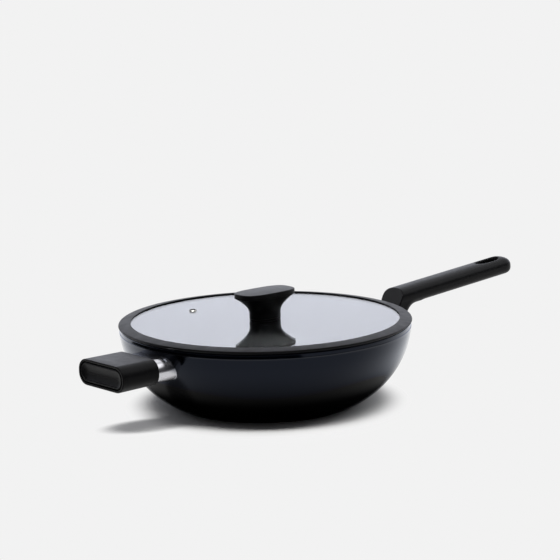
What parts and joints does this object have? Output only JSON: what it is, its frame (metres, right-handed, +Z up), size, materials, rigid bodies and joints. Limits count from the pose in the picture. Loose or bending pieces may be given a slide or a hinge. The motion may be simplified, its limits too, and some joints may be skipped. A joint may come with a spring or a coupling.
{
  "type": "wok with lid",
  "caption": "Flat-bottomed wok with a curved wall, a long raised handle, a block helper handle and a flat glass lid with a silicone rim, a steam vent and an oval knob.",
  "frame": {"origin": "on the pan's axis, at the flat bottom it stands on", "axes": "+Z up along the pan's axis, +X along the long handle"},
  "size_m": [0.5533, 0.2888, 0.1113],
  "materials": {
    "lacquer": "aluminium shell with a smooth dark blue-black lacquer",
    "steel": "polished stainless steel",
    "phenolic": "satin black phenolic resin",
    "silicone": "matt black silicone",
    "glass": "clear tempered glass",
    "aluminium": "plain cast aluminium",
    "brass": "plain brass"
  },
  "bodies": {
    "pan": {"wok_body": "lacquer", "induction_base": "steel", "long_handle_boss": "aluminium", "long_handle_ferrule": "steel", "long_handle_grip": "phenolic", "long_handle_washer": "steel", "long_handle_screw": "steel", "helper_handle_boss": "aluminium", "helper_handle_ferrule": "steel", "helper_handle_grip": "phenolic", "helper_handle_washer": "steel", "helper_handle_screw": "steel", "helper_handle_end_cap": "phenolic"},
    "lid": {"lid_glass": "glass", "lid_seal_ring": "silicone", "vent_eyelet": "steel", "knob_grip": "phenolic", "knob_insert": "brass", "knob_gasket": "silicone", "knob_lower_gasket": "silicone", "knob_washer": "steel", "knob_screw": "steel"}
  },
  "joints": [
    {"name": "lid_lift", "type": "slide", "parent": "pan", "child": "lid", "axis": [0, 0, 1], "range_m": [0, 0.15]}
  ]
}
